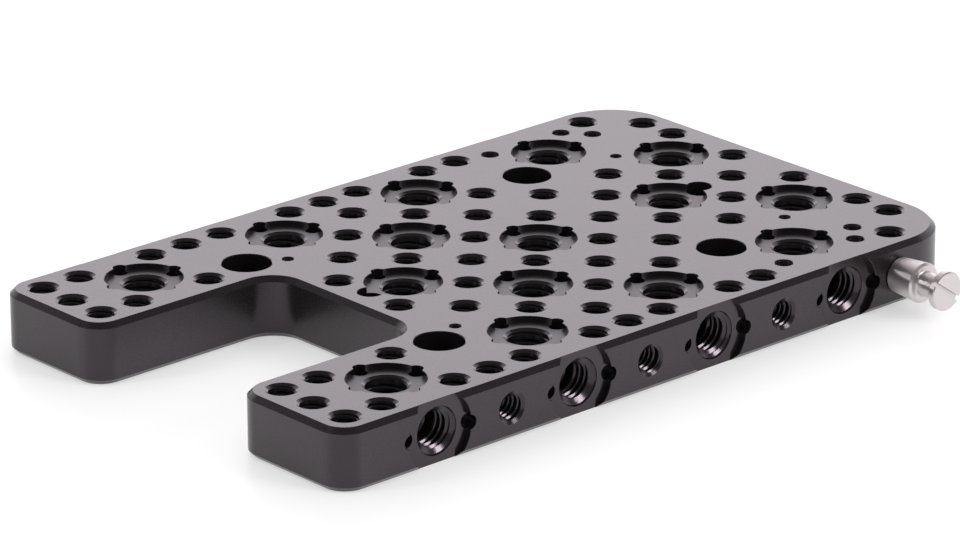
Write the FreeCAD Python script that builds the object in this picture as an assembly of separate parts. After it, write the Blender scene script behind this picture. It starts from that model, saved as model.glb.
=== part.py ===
# Camera top plate: a milled slab with a hole grid, locating sockets and one screwed-in tape hook.
# X runs along the plate with the notch at the -X end, the hook is on the -Y side, Z is up,
# and the origin is the centre of the underside. All sizes are in millimetres.
import FreeCAD, Part
import math
import os

from FreeCAD import Rotation, Vector

# Plate
pitch = 10.0                     # hole grid
grid_steps_long = 17             # grid spacings along X
grid_steps_wide = 10             # grid spacings along Y
edge_margin = 7.0                # outermost hole centres to the plate's edge
thickness = 14.2
edge_chamfer = 1.2               # all round, above and below
front_corner_radius = 6.4        # ends of the two prongs
back_corner_radius = 16.0
notch_width = 46.0
notch_depth = 50.0
notch_corner_radius = 6.8

# Holes for quarter inch screws: grid columns for each row, counted from the middle row outwards
quarter_thread_diameter = 6.35
quarter_columns = {
    0: (8, 12, 16),
    1: (5, 7, 9, 11, 13, 15, 17),
    2: (6, 10, 12, 14),
    3: (0, 1, 3, 7, 9, 11, 17),
    4: (0, 8, 17),
    5: (0, 1, 3, 4, 5, 7, 8, 9, 11, 12, 16),
}
side_quarter_columns = (4, 8, 12)  # each runs into the upright hole behind it

# Locating sockets: three-eighths thread in a shallow counterbore with pin holes on its rim
socket_thread_diameter = 9.525
socket_bore_diameter = 17.3
socket_bore_depth = 1.3
pin_hole_diameter = 3.3
pin_circle_diameter = 16.6
pin_hole_depth = 2.6             # from the plate's face
socket_columns = {
    0: (6, 10, 14),
    2: (8, 16),
    4: (2, 6, 10, 14),
}
side_socket_columns = (2, 6, 10, 14)
side_socket_depth = 6.8          # full thread, before the drill's tip
drill_tip_angle = 118.0

# Counterbored holes for the screws that hold the plate down
mount_head_diameter = 11.2
mount_head_depth = 7.5
mount_shank_diameter = 6.6
mount_spacing_long = 83.4
mount_spacing_wide = 63.4
mount_centre_x = -1.1

# Plain holes of the body pattern: one on the middle line with a small one to each side
body_hole_diameter = 5.8
body_pin_diameter = 2.8
body_spacing_long = 99.0
body_spacing_wide = 55.0
body_centre_x = 15.0

# Accessory holes near the back corners: places from the nearest outer socket's centre
accessory_hole_diameter = 4.2
accessory_socket_column = 14
accessory_socket_row = 4
accessory_places = ((-11.1, 7.9), (11.2, 7.9), (16.0, 2.3))

# Tape hook
hook_x = 71.0
hook_base_diameter = 8.0
hook_body_diameter = 9.2         # widest, at the end of the tapered body
hook_body_length = 7.8
hook_body_edge = 0.5
hook_neck_diameter = 5.6
hook_neck_length = 5.1
hook_head_diameter = 8.9
hook_head_length = 1.8
hook_head_edge = 0.25
hook_slot_width = 1.1
hook_slot_depth = 1.0
hook_slot_angle = -35.0
hook_thread_diameter = 4.0
hook_thread_length = 4.0
hook_thread_clearance = 0.05     # on the radius
hook_thread_run_out = 0.3        # hole depth beyond the thread's end

# Derived sizes
length = grid_steps_long * pitch + 2 * edge_margin
width = grid_steps_wide * pitch + 2 * edge_margin
front_x = -length / 2
back_x = length / 2
side_y = width / 2
middle_z = thickness / 2
over_cut = 1.0                   # how far cutters stand out of the faces they open

up = Vector(0, 0, 1)
down = Vector(0, 0, -1)


def grid_x(column):
    return (column - grid_steps_long / 2) * pitch


def row_places(columns_by_row):
    # Each row is mirrored about the middle line
    for row, columns in columns_by_row.items():
        for side in ((1, -1) if row else (1,)):
            for column in columns:
                yield grid_x(column), side * row * pitch


def rounded_outline(corners):
    # Closed wire through (x, y, radius) corners, with a tangent arc at each
    edges = []
    spans = []
    for index, (x, y, radius) in enumerate(corners):
        corner = Vector(x, y, 0)
        before = Vector(*corners[index - 1][:2], 0)
        after = Vector(*corners[(index + 1) % len(corners)][:2], 0)
        to_before = (before - corner).normalize()
        to_after = (after - corner).normalize()
        half_angle = to_before.getAngle(to_after) / 2
        reach = radius / math.tan(half_angle)
        bisector = (to_before + to_after).normalize()
        middle = corner + bisector * (radius / math.sin(half_angle) - radius)
        spans.append((corner + to_before * reach, middle, corner + to_after * reach))
    for index, (start, middle, end) in enumerate(spans):
        edges.append(Part.Arc(start, middle, end).toShape())
        next_start = spans[(index + 1) % len(spans)][0]
        edges.append(Part.makeLine(end, next_start))
    return Part.Wire(edges)


def edges_at(shape, height):
    return [
        edge for edge in shape.Edges
        if all(abs(vertex.Z - height) < 1e-6 for vertex in edge.Vertexes)
    ]


def plate_blank():
    notch_y = notch_width / 2
    notch_x = front_x + notch_depth
    outline = rounded_outline([
        (front_x, -side_y, front_corner_radius),
        (back_x, -side_y, back_corner_radius),
        (back_x, side_y, back_corner_radius),
        (front_x, side_y, front_corner_radius),
        (front_x, notch_y, front_corner_radius),
        (notch_x, notch_y, notch_corner_radius),
        (notch_x, -notch_y, notch_corner_radius),
        (front_x, -notch_y, front_corner_radius),
    ])
    blank = Part.Face(outline).extrude(up * thickness)
    return blank.makeChamfer(edge_chamfer, edges_at(blank, thickness) + edges_at(blank, 0))


def through_hole(diameter, x, y):
    return Part.makeCylinder(diameter / 2, thickness + 2 * over_cut, Vector(x, y, -over_cut), up)


def drilled(diameter, depth):
    # Cutter with its mouth at the origin, drilling down
    return Part.makeCylinder(diameter / 2, depth + over_cut, Vector(0, 0, over_cut), down)


def drill_tip(diameter, depth):
    tip_length = diameter / 2 / math.tan(math.radians(drill_tip_angle / 2))
    return Part.makeCone(diameter / 2, 0, tip_length, Vector(0, 0, -depth), down)


def locating_socket(thread_depth, pin_places):
    cutters = [drilled(socket_thread_diameter, thread_depth), drill_tip(socket_thread_diameter, thread_depth)]
    for place in pin_places:
        pin = drilled(pin_hole_diameter, pin_hole_depth)
        pin.translate(place)
        cutters.append(pin)
    return drilled(socket_bore_diameter, socket_bore_depth).fuse(cutters)


def body_hole_places():
    for end in (-1, 1):
        yield Vector(body_centre_x + end * body_spacing_long / 2, 0, 0)


def pin_ring(centre, directions):
    # A pin hole is left out where a body hole already stands
    for direction in directions:
        place = direction * (pin_circle_diameter / 2)
        gaps = [(centre + place - hole).Length for hole in body_hole_places()]
        if min(gaps) > body_hole_diameter / 2:
            yield place


def top_sockets():
    directions = (Vector(1, 0, 0), Vector(0, 1, 0), Vector(-1, 0, 0), Vector(0, -1, 0))
    for x, y in row_places(socket_columns):
        centre = Vector(x, y, 0)
        cutter = locating_socket(thickness + over_cut, list(pin_ring(centre, directions)))
        cutter.translate(centre + up * thickness)
        yield cutter


def on_side(cutter, x, side):
    # Turn a cutter that drills down so that it drills in from a long side face
    cutter.Placement = FreeCAD.Placement(
        Vector(x, side * side_y, middle_z), Rotation(Vector(1, 0, 0), -90 * side)
    )
    return cutter


def side_cutters():
    reach = pin_circle_diameter / 2
    pin_places = [Vector(reach, 0, 0), Vector(-reach, 0, 0)]
    for side in (-1, 1):
        for column in side_socket_columns:
            yield on_side(locating_socket(side_socket_depth, pin_places), grid_x(column), side)
        for column in side_quarter_columns:
            yield on_side(drilled(quarter_thread_diameter, edge_margin), grid_x(column), side)


def mount_cutters():
    for end in (-1, 1):
        for side in (-1, 1):
            x = mount_centre_x + end * mount_spacing_long / 2
            y = side * mount_spacing_wide / 2
            head = drilled(mount_head_diameter, mount_head_depth)
            head.translate(Vector(x, y, thickness))
            yield head.fuse(through_hole(mount_shank_diameter, x, y))


def body_cutters():
    for place in body_hole_places():
        yield through_hole(body_hole_diameter, place.x, place.y)
        for side in (-1, 1):
            yield through_hole(body_pin_diameter, place.x, side * body_spacing_wide / 2)


def accessory_cutters():
    for side in (-1, 1):
        for along, outward in accessory_places:
            x = grid_x(accessory_socket_column) + along
            y = side * (accessory_socket_row * pitch + outward)
            yield through_hole(accessory_hole_diameter, x, y)


def hook_hole():
    diameter = hook_thread_diameter + 2 * hook_thread_clearance
    return on_side(drilled(diameter, hook_thread_length + hook_thread_run_out), hook_x, -1)


def top_plate():
    plate = plate_blank()
    quarter_holes = [through_hole(quarter_thread_diameter, x, y) for x, y in row_places(quarter_columns)]
    plate = plate.cut(quarter_holes + list(mount_cutters()) + list(accessory_cutters()))
    plate = plate.cut(list(top_sockets()))
    plate = plate.cut(list(body_cutters()))
    plate = plate.cut(list(side_cutters()))
    return plate.cut(hook_hole())


def tape_hook():
    # Turned along its own axis from the thread's end at -thread length to the head's face
    thread_radius = hook_thread_diameter / 2
    base_radius = hook_base_diameter / 2
    body_radius = hook_body_diameter / 2
    neck_radius = hook_neck_diameter / 2
    head_radius = hook_head_diameter / 2
    neck_start = hook_body_length
    head_start = neck_start + hook_neck_length
    tip = head_start + hook_head_length
    profile = [
        (0, -hook_thread_length),
        (thread_radius, -hook_thread_length),
        (thread_radius, 0),
        (base_radius, 0),
        (body_radius, neck_start - hook_body_edge),
        (body_radius - hook_body_edge, neck_start),
        (neck_radius, neck_start),
        (neck_radius, head_start),
        (head_radius - hook_head_edge, head_start),
        (head_radius, head_start + hook_head_edge),
        (head_radius, tip - hook_head_edge),
        (head_radius - hook_head_edge, tip),
        (0, tip),
    ]
    points = [Vector(radius, 0, along) for radius, along in profile]
    stud = Part.Face(Part.makePolygon(points + points[:1])).revolve(Vector(), up, 360)
    slot = Part.makeBox(hook_head_diameter + 2 * over_cut, hook_slot_width, hook_slot_depth + over_cut)
    slot.translate(Vector(-hook_head_diameter / 2 - over_cut, -hook_slot_width / 2, tip - hook_slot_depth))
    slot.rotate(Vector(), up, hook_slot_angle)
    return on_side(stud.cut(slot), hook_x, -1)


def export(shape, name):
    solids = shape.Solids
    assert shape.isValid() and len(solids) == 1, name
    solids[0].exportStep(os.path.join("parts", name + ".step"))
    print(name, "volume", round(solids[0].Volume, 1), "faces", len(solids[0].Faces))


os.makedirs("parts", exist_ok=True)
export(top_plate(), "top_plate")
export(tape_hook(), "tape_hook")
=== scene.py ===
import math

import bpy
import numpy as np
from mathutils import Matrix, Vector


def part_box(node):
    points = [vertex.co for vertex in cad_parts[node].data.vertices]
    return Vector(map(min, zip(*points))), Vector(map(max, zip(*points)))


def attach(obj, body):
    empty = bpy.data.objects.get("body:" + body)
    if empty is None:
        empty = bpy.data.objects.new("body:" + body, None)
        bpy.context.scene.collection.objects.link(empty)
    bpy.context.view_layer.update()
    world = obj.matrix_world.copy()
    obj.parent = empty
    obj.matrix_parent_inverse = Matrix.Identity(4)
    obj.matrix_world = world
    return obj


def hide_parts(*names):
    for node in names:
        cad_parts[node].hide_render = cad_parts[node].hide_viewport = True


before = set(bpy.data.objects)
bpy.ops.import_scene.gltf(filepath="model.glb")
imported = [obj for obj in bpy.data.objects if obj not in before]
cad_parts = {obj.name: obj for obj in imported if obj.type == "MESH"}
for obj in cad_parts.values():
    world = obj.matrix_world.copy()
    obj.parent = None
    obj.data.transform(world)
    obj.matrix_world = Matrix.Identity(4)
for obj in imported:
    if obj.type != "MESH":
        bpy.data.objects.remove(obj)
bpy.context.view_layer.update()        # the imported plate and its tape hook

mm = 0.001               # meshes are worked out in millimetres and end in metres
turn = 2 * math.pi
sharpAngle = 24          # degrees; edges that turn more than this stay crisp
leastThread = 0.02       # share of its full depth that a thread has where a tap's lead begins
capRise = 0.5            # the points that close a screw's ends stand this far beyond it
print("frame loaded:", sorted(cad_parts))


def nodeBox(node):
    low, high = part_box(node)
    return low / mm, high / mm


# Mesh helpers: a solid is a pair of points and faces, in millimetres

def placed(solid, matrix):
    points, faces = solid
    rows = np.array(matrix)
    return points @ rows[:3, :3].T + rows[:3, 3], faces


def joined(solids):
    allPoints, allFaces, start = [], [], 0
    for points, faces in solids:
        allPoints.append(points)
        allFaces += [tuple(corner + start for corner in face) for face in faces]
        start += len(points)
    return np.concatenate(allPoints), allFaces


def meshOf(name, solid, materials=(), materialIndex=0):
    points, faces = solid
    mesh = bpy.data.meshes.new(name)
    mesh.from_pydata(points.tolist(), [], faces)
    for material in materials:
        mesh.materials.append(material)
    mesh.polygons.foreach_set("material_index", np.full(len(faces), materialIndex, np.int32))
    mesh.update()
    return mesh


def linked(name, mesh):
    piece = bpy.data.objects.new(name, mesh)
    bpy.context.scene.collection.objects.link(piece)
    return piece


def turned(profile, segments):
    # Closed solid turned about Z from (radius, height) points, bottom to top, with its ends on the axis
    angles = np.arange(segments) * turn / segments
    circle = np.stack([np.cos(angles), np.sin(angles)], axis=1)
    inner = profile[1:-1]
    points = [np.array([[0, 0, profile[0][1]]])]
    for radius, height in inner:
        points.append(np.column_stack([circle * radius, np.full(segments, height)]))
    points.append(np.array([[0, 0, profile[-1][1]]]))
    faces = []
    top = 1 + len(inner) * segments
    for i in range(segments):
        j = (i + 1) % segments
        faces.append((0, 1 + j, 1 + i))
        for ring in range(len(inner) - 1):
            a, b = 1 + ring * segments, 1 + (ring + 1) * segments
            faces.append((a + i, a + j, b + j, b + i))
        last = top - segments
        faces.append((last + i, last + j, top))
    return np.concatenate(points), faces


def screw(thread, form, low, high, segments, lead=0.0):
    # Right-handed screw about Z that fills a tapped hole from low to high.
    # Its thread grows to full depth over the tap's lead, if there is one.
    pitch = thread["pitch"]
    crest = thread["minor"] / 2
    depth = thread["major"] / 2 - crest
    rows = len(form)
    rings = rows * (math.ceil((high - low) / pitch) + 1) + 1
    angles = np.arange(segments) * turn / segments
    rise = np.arange(segments) * pitch / segments
    points = []
    for ring in range(rings):
        share, cutIn = form[ring % rows]
        height = low + pitch * (ring // rows + share) + rise
        full = np.clip((height - low) / lead, leastThread, 1) if lead else 1
        radius = crest + depth * cutIn * full
        points.append(np.column_stack([radius * np.cos(angles), radius * np.sin(angles), height]))
    points = np.concatenate(points)

    def corner(ring, i):
        return ring * segments + i if i < segments else (ring + rows) * segments

    faces = []
    for i in range(segments):
        for ring in range(rings - 1 if i < segments - 1 else rings - 1 - rows):
            above = ring + 1
            faces.append((corner(ring, i), corner(ring, i + 1), corner(above, i + 1), corner(above, i)))
    last = rings - 1
    lowLoop = [corner(0, i) for i in range(segments)]
    lowLoop += [corner(row, 0) for row in range(rows, 0, -1)]
    highLoop = [corner(last, i) for i in range(segments)]
    highLoop += [corner(last - row, segments - 1) for row in range(1, rows + 1)]
    lowCentre, highCentre = len(points), len(points) + 1
    ends = np.array([[0, 0, points[:, 2].min() - capRise], [0, 0, points[:, 2].max() + capRise]])
    for k, here in enumerate(lowLoop):
        faces.append((lowCentre, lowLoop[(k + 1) % len(lowLoop)], here))
    for k, here in enumerate(highLoop):
        faces.append((highCentre, here, highLoop[(k + 1) % len(highLoop)]))
    return np.concatenate([points, ends]), faces


def cut(piece, solids, materialIndex=0):
    # Takes the solids away from the piece; the new walls get the material with that index
    cutter = linked("cutter", meshOf("cutter", joined(solids), piece.data.materials, materialIndex))
    tool = piece.modifiers.new("cut", "BOOLEAN")
    tool.operation = "DIFFERENCE"
    tool.solver = "MANIFOLD"
    tool.material_mode = "INDEX"
    tool.object = cutter
    before = piece.data
    seen = piece.evaluated_get(bpy.context.evaluated_depsgraph_get())
    after = bpy.data.meshes.new_from_object(seen)
    piece.modifiers.clear()
    piece.data = after
    bpy.data.meshes.remove(before)
    cutterMesh = cutter.data
    bpy.data.objects.remove(cutter)
    bpy.data.meshes.remove(cutterMesh)


def smoothed(piece):
    piece.data.shade_smooth()
    piece.data.set_sharp_from_angle(angle=math.radians(sharpAngle))


# Materials

noiseSpan = (0.3, 0.7)   # nearly all values of a noise texture lie between these


def newMaterial(name):
    material = bpy.data.materials.new(name)
    material.use_nodes = True
    nodes = material.node_tree.nodes
    return material, nodes, material.node_tree.links, nodes["Principled BSDF"]


def addNode(nodes, kind, **settings):
    node = nodes.new(kind)
    for key, value in settings.items():
        if key in node.inputs:
            node.inputs[key].default_value = value
        else:
            setattr(node, key, value)
    return node


def mapped(nodes, links, value, before, after):
    node = addNode(nodes, "ShaderNodeMapRange")
    links.new(value, node.inputs["Value"])
    node.inputs["From Min"].default_value, node.inputs["From Max"].default_value = before
    node.inputs["To Min"].default_value, node.inputs["To Max"].default_value = after
    return node.outputs["Result"]


def colourRamp(nodes, positions, colours):
    node = addNode(nodes, "ShaderNodeValToRGB")
    for element, position, colour in zip(node.color_ramp.elements, positions, colours):
        element.position = position
        element.color = colour
    return node


anodise = {
    "dye": (0.0042, 0.0035, 0.0039, 1),
    "dyeFaded": (0.0060, 0.0050, 0.0056, 1),
    "ior": 1.60,
    "sheenTint": (1.0, 0.88, 0.96, 1),
    "roughness": (0.25, 0.29),       # satin face, least and most
    "boredRoughness": (0.38, 0.43),
    "tappedRoughness": (0.16, 0.24),
    "grainScale": 5200,              # blasted grain, about 0.2 mm
    "grainDetail": 2.0,
    "grainDepth": 0.0000025,
    "grain": 0.6,                    # how far the grain shows, on faces and in tapped holes
    "tappedGrain": 0.2,
    "mottleScale": 45,
    "mottleDetail": 4.0,
}


def blackAnodise(name, roughness, grainStrength):
    material, nodes, links, shader = newMaterial(name)
    shader.inputs["IOR"].default_value = anodise["ior"]
    shader.inputs["Specular Tint"].default_value = anodise["sheenTint"]
    place = addNode(nodes, "ShaderNodeTexCoord")
    mottle = addNode(
        nodes, "ShaderNodeTexNoise", Scale=anodise["mottleScale"], Detail=anodise["mottleDetail"]
    )
    grain = addNode(
        nodes, "ShaderNodeTexNoise", Scale=anodise["grainScale"], Detail=anodise["grainDetail"]
    )
    links.new(place.outputs["Object"], mottle.inputs["Vector"])
    links.new(place.outputs["Object"], grain.inputs["Vector"])
    colour = colourRamp(nodes, noiseSpan, (anodise["dye"], anodise["dyeFaded"]))
    links.new(mottle.outputs["Fac"], colour.inputs["Fac"])
    links.new(colour.outputs["Color"], shader.inputs["Base Color"])
    gloss = mapped(nodes, links, grain.outputs["Fac"], noiseSpan, roughness)
    links.new(gloss, shader.inputs["Roughness"])
    bump = addNode(nodes, "ShaderNodeBump", Strength=grainStrength, Distance=anodise["grainDepth"])
    links.new(grain.outputs["Fac"], bump.inputs["Height"])
    links.new(bump.outputs["Normal"], shader.inputs["Normal"])
    return material


steel = {
    "colour": (0.69, 0.65, 0.65, 1),
    "colourDull": (0.58, 0.547, 0.547, 1),
    "roughness": (0.28, 0.38),
    "anisotropy": 0.97,              # on the turned faces; the flat ends have none
    "flatEnds": (0.3, 0.7),          # lean towards the axis at which a face begins to be flat, and is
    "highlightTurn": 0.25,           # a quarter turn, so that highlights run across the rings
    "ringScale": 26000,              # lathe rings, about 0.04 mm apart
    "ringDetail": 3.0,
    "ringSpan": (0.25, 0.6),         # noise values that are wholly dull and wholly bright
    "ringDepth": 0.000004,
    "rings": 0.5,                    # how far the rings show
}


def turnedSteel():
    # Lathe rings follow the hook's own axis, which is the piece's Z
    material, nodes, links, shader = newMaterial("turnedSteel")
    shader.inputs["Metallic"].default_value = 1
    shader.inputs["Anisotropic Rotation"].default_value = steel["highlightTurn"]
    place = addNode(nodes, "ShaderNodeTexCoord")
    around = addNode(nodes, "ShaderNodeVectorMath", operation="CROSS_PRODUCT")
    around.inputs[0].default_value = (0, 0, 1)
    links.new(place.outputs["Object"], around.inputs[1])
    tangent = addNode(nodes, "ShaderNodeVectorTransform", convert_from="OBJECT", convert_to="WORLD")
    links.new(around.outputs["Vector"], tangent.inputs["Vector"])
    links.new(tangent.outputs["Vector"], shader.inputs["Tangent"])
    facing = addNode(nodes, "ShaderNodeSeparateXYZ")
    links.new(place.outputs["Normal"], facing.inputs["Vector"])
    flat = addNode(nodes, "ShaderNodeMath", operation="ABSOLUTE")
    links.new(facing.outputs["Z"], flat.inputs[0])
    spread = mapped(nodes, links, flat.outputs["Value"], steel["flatEnds"], (steel["anisotropy"], 0.0))
    links.new(spread, shader.inputs["Anisotropic"])
    along = addNode(nodes, "ShaderNodeSeparateXYZ")
    links.new(place.outputs["Object"], along.inputs["Vector"])
    rings = addNode(
        nodes, "ShaderNodeTexNoise", noise_dimensions="1D",
        Scale=steel["ringScale"], Detail=steel["ringDetail"],
    )
    links.new(along.outputs["Z"], rings.inputs["W"])
    colour = colourRamp(nodes, steel["ringSpan"], (steel["colourDull"], steel["colour"]))
    links.new(rings.outputs["Fac"], colour.inputs["Fac"])
    links.new(colour.outputs["Color"], shader.inputs["Base Color"])
    gloss = mapped(nodes, links, rings.outputs["Fac"], noiseSpan, steel["roughness"])
    links.new(gloss, shader.inputs["Roughness"])
    bump = addNode(nodes, "ShaderNodeBump", Strength=steel["rings"], Distance=steel["ringDepth"])
    links.new(rings.outputs["Fac"], bump.inputs["Height"])
    links.new(bump.outputs["Normal"], shader.inputs["Normal"])
    return material


satinBlack = blackAnodise("satinBlack", anodise["roughness"], anodise["grain"])
tappedBlack = blackAnodise("tappedBlack", anodise["tappedRoughness"], anodise["tappedGrain"])
boredBlack = blackAnodise("boredBlack", anodise["boredRoughness"], anodise["grain"])
brightSteel = turnedSteel()
tapped, bored = 1, 2                 # places of the two hole materials on the plate
print("materials made")


# Plate

plateLow, plateHigh = nodeBox("top_plate")
thickness = plateHigh.z - plateLow.z
plate = {
    "chamfer": 1.2,
    "frontCorner": 6.4,
    "backCorner": 16.0,
    "notchWidth": 46.0,
    "notchDepth": 50.0,
    "notchCorner": 6.8,
    "cornerSteps": 14,
}


def roundedOutline(corners, steps):
    # Points and outward normals, anticlockwise, through right-angled (x, y, radius) corners
    points, normals = [], []
    for index, (x, y, radius) in enumerate(corners):
        corner = Vector((x, y))
        toBefore = (Vector(corners[index - 1][:2]) - corner).normalized()
        toAfter = (Vector(corners[(index + 1) % len(corners)][:2]) - corner).normalized()
        centre = corner + (toBefore + toAfter) * radius
        outward = 1 if toAfter.cross(toBefore) > 0 else -1
        for step in range(steps + 1):
            angle = step / steps * turn / 4
            reach = -toAfter * math.cos(angle) - toBefore * math.sin(angle)
            points.append(centre + reach * radius)
            normals.append(reach * outward)
    return np.array(points), np.array(normals)


def plateBlank():
    notchX = plateLow.x + plate["notchDepth"]
    notchY = plate["notchWidth"] / 2
    front, back, notch = plate["frontCorner"], plate["backCorner"], plate["notchCorner"]
    outline, normals = roundedOutline([
        (plateLow.x, plateLow.y, front),
        (plateHigh.x, plateLow.y, back),
        (plateHigh.x, plateHigh.y, back),
        (plateLow.x, plateHigh.y, front),
        (plateLow.x, notchY, front),
        (notchX, notchY, notch),
        (notchX, -notchY, notch),
        (plateLow.x, -notchY, front),
    ], plate["cornerSteps"])
    count = len(outline)
    chamfer = plate["chamfer"]
    edge = [(chamfer, 0), (0, chamfer), (0, thickness - chamfer), (chamfer, thickness)]
    rings = [
        np.column_stack([outline - normals * inset, np.full(count, height)])
        for inset, height in edge
    ]
    faces = [tuple(reversed(range(count)))]
    for ring in range(len(rings) - 1):
        a, b = ring * count, (ring + 1) * count
        for i in range(count):
            j = (i + 1) % count
            faces.append((a + i, a + j, b + j, b + i))
    faces.append(tuple((len(rings) - 1) * count + i for i in range(count)))
    return np.concatenate(rings), faces


# Holes: every cutter has its mouth at the origin and goes down its own -Z

grid = {"pitch": 10.0, "stepsLong": 17}
over = 1.0                           # cutters stand this far out of the faces they open
goldenTurn = 2.39996                 # radians; spreads the starts of the threads
runOutTurns = 1.5                    # a thread fades out over this many turns at its lower end
sinkAngle, leadAngle = 112.0, 24.0   # countersinks, and the steep lead from them into the thread
pilotGap = 0.05                      # pilot drills are this much under the thread's minor diameter
# Thread forms: share of the pitch, and 0 on the crest or 1 at the root
sharpForm = ((0.0, 0), (0.5, 1))
flatForm = ((0.0, 0), (0.3, 0), (0.65, 1))
fullForm = ((0.0, 0), (0.25, 0), (0.527, 1), (0.723, 1))

quarter = {
    "major": 6.35,
    "minor": 5.15,
    "pitch": 1.27,
    "threadDepth": 6.4,
    "countersink": 7.4,
    "lead": 5.85,                    # where the countersink meets the steep lead into the thread
    "segments": 24,
    "sinkSegments": 36,
    "columns": {
        0: (8, 12, 16),
        1: (5, 7, 9, 11, 13, 15, 17),
        2: (6, 10, 12, 14),
        3: (0, 1, 3, 7, 9, 11, 17),
        4: (0, 8, 17),
        5: (0, 1, 3, 4, 5, 7, 8, 9, 11, 12, 16),
    },
    "sideColumns": (4, 8, 12),
    "sideDepth": 7.0,
}
socket = {
    "major": 9.525,
    "minor": 8.0,
    "pitch": 1.5875,
    "threadDepth": 9.0,
    "countersink": 10.5,
    "lead": 9.1,
    "segments": 32,
    "sinkSegments": 48,
    "sideSegments": 40,
    "sideMouth": 10.9,
    "sideWall": 0.2,                 # straight wall at the mouth, then a lip down to the countersink
    "sideLip": 0.3,
    "sideCountersinkAngle": 120.0,
    "bore": 17.3,
    "boreDepth": 1.3,
    "boreSegments": 60,
    "floorSkim": 0.02,
    "rimBreak": 0.1,
    "pin": 3.3,
    "pinCircle": 16.6,
    "pinDepth": 2.6,
    "pinSegments": 20,
    "columns": {0: (6, 10, 14), 2: (8, 16), 4: (2, 6, 10, 14)},
    "sideColumns": (2, 6, 10, 14),
    "sideThreadDepth": 6.2,          # full thread, before the tap's lead
    "sideTapLead": 2.1,
    "sideDrillDepth": 9.4,
    "tipAngle": 118.0,
}
accessory = {
    "major": 4.166,
    "minor": 3.3,
    "pitch": 0.794,
    "threadDepth": 5.0,
    "countersink": 4.45,
    "lead": 4.1,
    "segments": 16,
    "sinkSegments": 28,
    "from": (14, 4),                 # column and row of the socket that the places count from
    "places": ((-11.1, 7.9), (11.2, 7.9), (16.0, 2.3)),
}
bodyPin = {
    "major": 2.8,
    "minor": 2.3,
    "pitch": 0.5,
    "threadDepth": 3.6,
    "countersink": 3.0,
    "lead": 2.7,
    "segments": 14,
    "sinkSegments": 24,
}
plain = {
    "segments": 36,
    "edgeBreak": 0.12,
    "lip": 0.2,                      # countersink on the mount holes
    "mountHead": 11.2,
    "mountHeadDepth": 7.5,
    "mountShank": 6.6,
    "mountSpacing": (83.4, 63.4),
    "mountCentreX": -1.1,
    "bodyHole": 5.8,
    "bodySpacing": (99.0, 55.0),
    "bodyCentreX": 15.0,
}


def gridX(column):
    return (column - grid["stepsLong"] / 2) * grid["pitch"]


def rowPlaces(columnsByRow):
    for row, columns in columnsByRow.items():
        for side in ((1, -1) if row else (1,)):
            for column in columns:
                yield gridX(column), side * row * grid["pitch"]


def onTop(x, y, spin=0.0):
    return Matrix.Translation((x, y, thickness)) @ Matrix.Rotation(spin, 4, "Z")


def onSide(x, side, spin=0.0):
    # The cutter's +Z points out of the near (-1) or far (1) long side
    out = Matrix.Rotation(-side * turn / 4, 4, "X")
    sideY = plateHigh.y if side > 0 else plateLow.y
    return Matrix.Translation((x, sideY, thickness / 2)) @ out @ Matrix.Rotation(spin, 4, "Z")


def cylinder(diameter, depth, segments):
    return turned([(0, -depth), (diameter / 2, -depth), (diameter / 2, over), (0, over)], segments)


def brokenHole(diameter, depth, edge, segments):
    # Hole with a small break at its mouth
    radius = diameter / 2
    mouth = radius + edge
    return turned([
        (0, -depth), (radius, -depth), (radius, -edge), (mouth, 0), (mouth, over), (0, over),
    ], segments)


def throughHole(diameter):
    radius, edge = diameter / 2, plain["edgeBreak"]
    mouth, floor = radius + edge, -thickness
    return turned([
        (0, floor - over), (mouth, floor - over), (mouth, floor), (radius, floor + edge),
        (radius, -edge), (mouth, 0), (mouth, over), (0, over),
    ], plain["segments"])


def coneDepth(radius, angle):
    return radius / math.tan(math.radians(angle / 2))


def mountHole():
    # Shank hole from below, head counterbore and a lip at its mouth
    head, shank, edge = plain["mountHead"] / 2, plain["mountShank"] / 2, plain["edgeBreak"]
    floor, step, lip = -thickness, -plain["mountHeadDepth"], plain["lip"]
    lowMouth, mouth = shank + edge, head + lip
    return turned([
        (0, floor - over), (lowMouth, floor - over), (lowMouth, floor), (shank, floor + edge),
        (shank, step), (head, step), (head, -coneDepth(lip, sinkAngle)),
        (mouth, 0), (mouth, over), (0, over),
    ], plain["segments"])


def countersink(thread):
    radius = thread["countersink"] / 2
    tip = coneDepth(radius, sinkAngle)
    return turned([(0, -tip), (radius, 0), (radius, over), (0, over)], thread["segments"])


def sideCountersink():
    radius, mouth, wall = socket["countersink"] / 2, socket["sideMouth"] / 2, socket["sideWall"]
    step = wall + socket["sideLip"]
    tip = step + coneDepth(radius, socket["sideCountersinkAngle"])
    return turned([
        (0, -tip), (radius, -step), (mouth, -wall), (mouth, over), (0, over),
    ], socket["boreSegments"])


def leadIn(thread):
    # Countersink that turns into a steep cone
    radius, inner = thread["countersink"] / 2, thread["lead"] / 2
    bend = coneDepth(radius - inner, sinkAngle)
    tip = bend + coneDepth(inner, leadAngle)
    return turned([
        (0, -tip), (inner, -bend), (radius, 0), (radius, over), (0, over),
    ], thread["sinkSegments"])


def drill(diameter, depth):
    radius = diameter / 2
    tip = depth + coneDepth(radius, socket["tipAngle"])
    return turned([(0, -tip), (radius, -depth), (radius, over), (0, over)], socket["sideSegments"])


def bodyHoleXs():
    # The two body holes stand on the middle line
    for end in (-1, 1):
        yield plain["bodyCentreX"] + end * plain["bodySpacing"][0] / 2


def pinPlaces(x, y):
    # Four on the rim, but none where a body hole stands
    reach = socket["pinCircle"] / 2
    for dx, dy in ((reach, 0), (0, reach), (-reach, 0), (0, -reach)):
        gap = min(math.hypot(x + dx - holeX, y + dy) for holeX in bodyHoleXs())
        if gap > plain["bodyHole"] / 2:
            yield x + dx, y + dy


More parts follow.
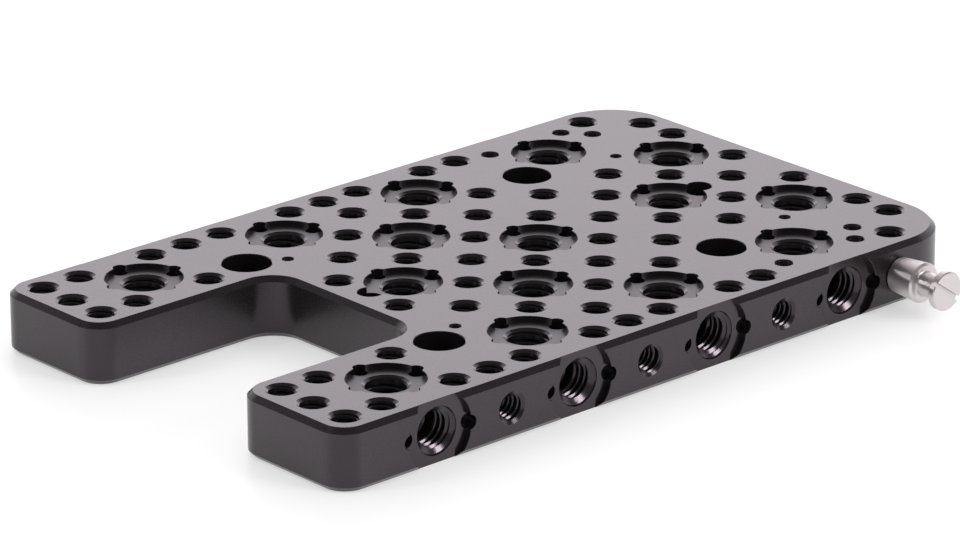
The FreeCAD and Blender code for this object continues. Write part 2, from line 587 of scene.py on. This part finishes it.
def mountCutters():
    spacingX, spacingY = plain["mountSpacing"]
    mount = mountHole()
    for side in (-1, 1):
        for end in (-1, 1):
            yield placed(mount, onTop(plain["mountCentreX"] + end * spacingX / 2, side * spacingY / 2))


def accessorySpots():
    column, row = accessory["from"]
    for side in (-1, 1):
        for along, outward in accessory["places"]:
            yield gridX(column) + along, side * (row * grid["pitch"] + outward)


def bodyPinSpots():
    for side in (-1, 1):
        for x in bodyHoleXs():
            yield x, side * plain["bodySpacing"][1] / 2


def flipped(x, y):
    # Mouth on the underside, going up
    return Matrix.Translation((x, y, 0)) @ Matrix.Rotation(turn / 2, 4, "X")


def spun(solid, spots, place):
    # The solid at every spot, each turned further about its own axis than the one before
    return [placed(solid, place(*spot, index * goldenTurn)) for index, spot in enumerate(spots)]


def tap(piece, thread, form, places, mouth=0.0):
    # Pilot through the plate, thread from the top with its run-out, then the countersinks at both ends
    segments = thread["segments"]
    pilot = cylinder(thread["minor"] - pilotGap, thickness + over, segments)
    body = screw(thread, form, -thread["threadDepth"], over, segments, thread["pitch"] * runOutTurns)
    sink, lowSink, lower = leadIn(thread), countersink(thread), Matrix.Translation((0, 0, -mouth))
    cut(piece, [placed(pilot, onTop(x, y)) for x, y in places], tapped)
    cut(piece, spun(body, places, onTop), tapped)
    sinks = [placed(sink, onTop(x, y) @ lower) for x, y in places]
    cut(piece, sinks + [placed(lowSink, flipped(x, y)) for x, y in places], tapped)


def counterbore(piece, seats, floorFinish):
    # Smooth wall, then the last skim of the floor with its own finish
    depth, skim = socket["boreDepth"], socket["floorSkim"]
    wall = brokenHole(socket["bore"], depth - skim, socket["rimBreak"], socket["boreSegments"])
    floor = cylinder(socket["bore"] - skim, depth, socket["boreSegments"])
    cut(piece, [placed(wall, seat) for seat in seats], tapped)
    cut(piece, [placed(floor, seat) for seat in seats], floorFinish)


def millTop(piece):
    cut(piece, list(mountCutters()), tapped)
    places = list(rowPlaces(quarter["columns"]))
    tap(piece, quarter, flatForm, places)
    tap(piece, accessory, sharpForm, list(accessorySpots()))
    tap(piece, bodyPin, sharpForm, list(bodyPinSpots()))
    print("quarter inch holes tapped:", len(places))
    places = list(rowPlaces(socket["columns"]))
    counterbore(piece, [onTop(x, y) for x, y in places], bored)
    tap(piece, socket, flatForm, places, socket["boreDepth"])
    pin = cylinder(socket["pin"], socket["pinDepth"], socket["pinSegments"])
    pins = [placed(pin, onTop(*spot)) for x, y in places for spot in pinPlaces(x, y)]
    body = throughHole(plain["bodyHole"])
    cut(piece, pins + [placed(body, onTop(x, 0)) for x in bodyHoleXs()], tapped)
    print("locating sockets cut:", len(places), "with", len(pins), "pin holes")


def millSides(piece):
    sink, lower = sideCountersink(), Matrix.Translation((0, 0, -socket["boreDepth"]))
    pilot = drill(socket["minor"] - pilotGap, socket["sideDrillDepth"])
    threadEnd = -socket["sideThreadDepth"] - socket["sideTapLead"]
    thread = screw(socket, fullForm, threadEnd, over, socket["sideSegments"], socket["sideTapLead"])
    pin = cylinder(socket["pin"], socket["pinDepth"], socket["pinSegments"])
    smallThread = screw(quarter, fullForm, -quarter["sideDepth"], over, quarter["segments"])
    smallSink = leadIn(quarter)
    reach = socket["pinCircle"] / 2
    spots = [(gridX(column), side) for side in (-1, 1) for column in socket["sideColumns"]]
    smallSpots = [(gridX(column), side) for side in (-1, 1) for column in quarter["sideColumns"]]
    counterbore(piece, [onSide(*spot) for spot in spots], tapped)
    cut(piece, [placed(pilot, onSide(*spot)) for spot in spots], tapped)
    cut(piece, spun(thread, spots, onSide) + spun(smallThread, smallSpots, onSide), tapped)
    sinks = [placed(sink, onSide(*spot) @ lower) for spot in spots]
    cut(piece, sinks + [placed(smallSink, onSide(*spot)) for spot in smallSpots], tapped)
    pinSpots = [(x + end * reach, side) for x, side in spots for end in (-1, 1)]
    cut(piece, [placed(pin, onSide(*spot)) for spot in pinSpots], tapped)
    print("side holes cut:", len(spots), "sockets and", len(smallSpots), "quarter inch")


# Tape hook

hook = {
    "x": 71.0,
    "base": 8.0,
    "baseEdge": 0.25,
    "body": 9.2,
    "bodyLength": 7.8,
    "bodyEdge": 0.5,
    "neck": 5.6,
    "neckLength": 5.1,
    "neckFillet": 0.3,
    "filletSteps": 4,
    "head": 8.9,
    "headLength": 1.8,
    "headEdge": 0.25,
    "slotWidth": 1.1,
    "slotDepth": 1.0,
    "slotAngle": -35.0,
    "thread": 4.0,
    "threadLength": 4.0,
    "threadHole": 4.1,
    "threadHoleDepth": 4.3,
    "segments": 96,
}


def hookSolid():
    thread, base, body = hook["thread"] / 2, hook["base"] / 2, hook["body"] / 2
    neck, head = hook["neck"] / 2, hook["head"] / 2
    neckStart = hook["bodyLength"]
    headStart = neckStart + hook["neckLength"]
    tip = headStart + hook["headLength"]
    fillet, edge = hook["neckFillet"], hook["headEdge"]
    bends = [turn / 4 * step / hook["filletSteps"] for step in range(hook["filletSteps"])]
    curve = [(fillet * (1 - math.sin(bend)), fillet * (1 - math.cos(bend))) for bend in bends]
    profile = [
        (0, -hook["threadLength"]), (thread, -hook["threadLength"]), (thread, 0),
        (base - hook["baseEdge"], 0), (base, hook["baseEdge"]),
        (body, neckStart - hook["bodyEdge"]), (body - hook["bodyEdge"], neckStart),
    ]
    profile += [(neck + out, neckStart + up) for out, up in curve]
    profile += [(neck, neckStart + fillet), (neck, headStart - fillet)]
    profile += [(neck + out, headStart - up) for out, up in reversed(curve)]
    profile += [
        (head - edge, headStart), (head, headStart + edge),
        (head, tip - edge), (head - edge, tip), (0, tip),
    ]
    return turned(profile, hook["segments"])


def slotCutter():
    tip = hook["bodyLength"] + hook["neckLength"] + hook["headLength"]
    x, y = hook["head"] / 2 + over, hook["slotWidth"] / 2
    low, high = tip - hook["slotDepth"], tip + over
    corners = ((-x, -y), (x, -y), (x, y), (-x, y))
    points = np.array([(*corner, z) for z in (low, high) for corner in corners])
    faces = [(3, 2, 1, 0), (4, 5, 6, 7)] + [(i, (i + 1) % 4, 4 + (i + 1) % 4, 4 + i) for i in range(4)]
    return placed((points, faces), Matrix.Rotation(math.radians(hook["slotAngle"]), 4, "Z"))


def makePlate():
    finishes = (satinBlack, tappedBlack, boredBlack)
    piece = linked("milledPlate", meshOf("milledPlate", plateBlank(), finishes))
    millTop(piece)
    millSides(piece)
    hookHole = cylinder(hook["threadHole"], hook["threadHoleDepth"], plain["segments"])
    cut(piece, [placed(hookHole, onSide(hook["x"], -1))], tapped)
    piece.data.transform(Matrix.Scale(mm, 4))
    smoothed(piece)
    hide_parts("top_plate")
    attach(piece, "root")
    print("plate done:", len(piece.data.polygons), "faces")


def makeHook():
    piece = linked("turnedHook", meshOf("turnedHook", hookSolid(), (brightSteel,)))
    cut(piece, [slotCutter()])
    piece.data.transform(Matrix.Scale(mm, 4))
    smoothed(piece)
    seat = onSide(hook["x"], -1)
    seat.translation *= mm
    piece.matrix_world = seat
    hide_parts("tape_hook")
    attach(piece, "root")
    print("hook done:", len(piece.data.polygons), "faces")


makePlate()
makeHook()


# Floor, light and camera

studio = {
    "floorSize": 30.0,
    "floorColour": (0.95, 0.95, 0.95, 1),
    "floorRoughness": 0.4,
    "floorSheen": 0.6,
    "floorGlow": 0.45,              # share of plain white in the floor as it is seen or mirrored
    "lampTint": (1.0, 0.97, 0.99),
    "ambient": 0.97,                # what the world gives to dull surfaces
    "ambientTint": (1.0, 0.985, 0.995, 1),
    "horizon": (1.0, 0.955, 0.985, 1),
    "ceiling": (0.16, 0.152, 0.157, 1),
    "behind": (0.67, 0.742, 0.0),   # level direction from the camera towards the backdrop
    "backdropSides": (0.33, 0.5),   # share of that direction at which the backdrop begins, and is full
    "backdropTop": (0.22, 0.80),    # height of its upper edge, beside it and on it
    "backdropFade": 0.13,
    "roomSides": (-0.8, -0.35),     # the dark room behind the camera, and how light it is
    "roomLight": (0.1, 1.0),
}
softboxes = {
    # place of the middle in metres, width and height, watts; each faces the plate
    "backBox": {"at": (1.55, 1.72, 0.90), "size": (3.0, 1.2), "power": 15},
    "keyBox": {"at": (1.10, -2.46, 1.31), "size": (1.0, 0.6), "power": 31},
    "fillBox": {"at": (-2.24, 0.93, 1.3), "size": (0.5, 1.4), "power": 15},
}
camera = {
    "at": (-0.79920, -0.88338, 0.46270),
    "tilt": 69.110,                 # degrees up from looking straight down
    "roll": 0.182,
    "heading": -42.115,             # degrees from looking along Y
    "lens": 216.96,
    "sensor": 36.0,
    "clip": (0.01, 100.0),
}


def seenRays(nodes, links):
    # 1 for what is seen, mirrored or looked through, 0 for what lights a dull surface
    path = addNode(nodes, "ShaderNodeLightPath")
    total = path.outputs["Is Camera Ray"]
    for ray in ("Is Glossy Ray", "Is Transmission Ray"):
        either = addNode(nodes, "ShaderNodeMath", operation="MAXIMUM")
        links.new(total, either.inputs[0])
        links.new(path.outputs[ray], either.inputs[1])
        total = either.outputs["Value"]
    return total


def makeFloor():
    half = studio["floorSize"] / 2
    corners = np.array([(-half, -half, 0), (half, -half, 0), (half, half, 0), (-half, half, 0)])
    material, nodes, links, shader = newMaterial("paleFloor")
    shader.inputs["Base Color"].default_value = studio["floorColour"]
    shader.inputs["Roughness"].default_value = studio["floorRoughness"]
    shader.inputs["Specular IOR Level"].default_value = studio["floorSheen"]
    glow = addNode(nodes, "ShaderNodeEmission", Strength=1.0)
    glowShare = mapped(nodes, links, seenRays(nodes, links), (0.0, 1.0), (0.0, studio["floorGlow"]))
    mix = addNode(nodes, "ShaderNodeMixShader")
    links.new(glowShare, mix.inputs["Fac"])
    links.new(shader.outputs["BSDF"], mix.inputs[1])
    links.new(glow.outputs["Emission"], mix.inputs[2])
    links.new(mix.outputs["Shader"], nodes["Material Output"].inputs["Surface"])
    floor = linked("floor", meshOf("floor", (corners, [(0, 1, 2, 3)]), (material,)))


def makeWorld():
    # Dull surfaces get an even light.
    # What is seen, mirrored or looked through is white low down and dark above.
    world = bpy.data.worlds.new("studio")
    bpy.context.scene.world = world
    world.use_nodes = True
    nodes, links = world.node_tree.nodes, world.node_tree.links
    nodes.clear()
    place = addNode(nodes, "ShaderNodeTexCoord")
    part = addNode(nodes, "ShaderNodeSeparateXYZ")
    links.new(place.outputs["Generated"], part.inputs["Vector"])
    behind = addNode(nodes, "ShaderNodeVectorMath", operation="DOT_PRODUCT")
    links.new(place.outputs["Generated"], behind.inputs[0])
    behind.inputs[1].default_value = studio["behind"]
    limit = mapped(nodes, links, behind.outputs["Value"], studio["backdropSides"], studio["backdropTop"])
    above = addNode(nodes, "ShaderNodeMath", operation="SUBTRACT")
    links.new(part.outputs["Z"], above.inputs[0])
    links.new(limit, above.inputs[1])
    fade = mapped(nodes, links, above.outputs["Value"], (0.0, studio["backdropFade"]), (1.0, 0.0))
    room = mapped(nodes, links, behind.outputs["Value"], studio["roomSides"], studio["roomLight"])
    share = addNode(nodes, "ShaderNodeMath", operation="MULTIPLY")
    links.new(fade, share.inputs[0])
    links.new(room, share.inputs[1])
    ramp = colourRamp(nodes, (0.0, 1.0), (studio["ceiling"], studio["horizon"]))
    links.new(share.outputs["Value"], ramp.inputs["Fac"])
    seen = addNode(nodes, "ShaderNodeBackground", Strength=1.0)
    links.new(ramp.outputs["Color"], seen.inputs["Color"])
    dull = addNode(nodes, "ShaderNodeBackground", Strength=studio["ambient"])
    dull.inputs["Color"].default_value = studio["ambientTint"]
    mix = addNode(nodes, "ShaderNodeMixShader")
    links.new(seenRays(nodes, links), mix.inputs["Fac"])
    links.new(dull.outputs["Background"], mix.inputs[1])
    links.new(seen.outputs["Background"], mix.inputs[2])
    out = addNode(nodes, "ShaderNodeOutputWorld")
    links.new(mix.outputs["Shader"], out.inputs["Surface"])


def makeLights():
    for name, box in softboxes.items():
        light = bpy.data.lights.new(name, "AREA")
        light.shape = "RECTANGLE"
        light.size, light.size_y = box["size"]
        light.energy = box["power"]
        light.color = studio["lampTint"]
        lamp = bpy.data.objects.new(name, light)
        bpy.context.scene.collection.objects.link(lamp)
        lamp.location = box["at"]
        lamp.rotation_euler = Vector(box["at"]).to_track_quat("Z", "Y").to_euler()
        lamp.visible_camera = False


def makeCamera():
    data = bpy.data.cameras.new("photoView")
    data.lens = camera["lens"]
    data.sensor_width = camera["sensor"]
    data.clip_start, data.clip_end = camera["clip"]
    view = bpy.data.objects.new("photoView", data)
    bpy.context.scene.collection.objects.link(view)
    view.location = camera["at"]
    view.rotation_euler = [math.radians(camera[key]) for key in ("tilt", "roll", "heading")]
    bpy.context.scene.camera = view


makeFloor()
makeWorld()
makeLights()
makeCamera()
bpy.context.scene.view_settings.view_transform = "Standard"
print("studio set")
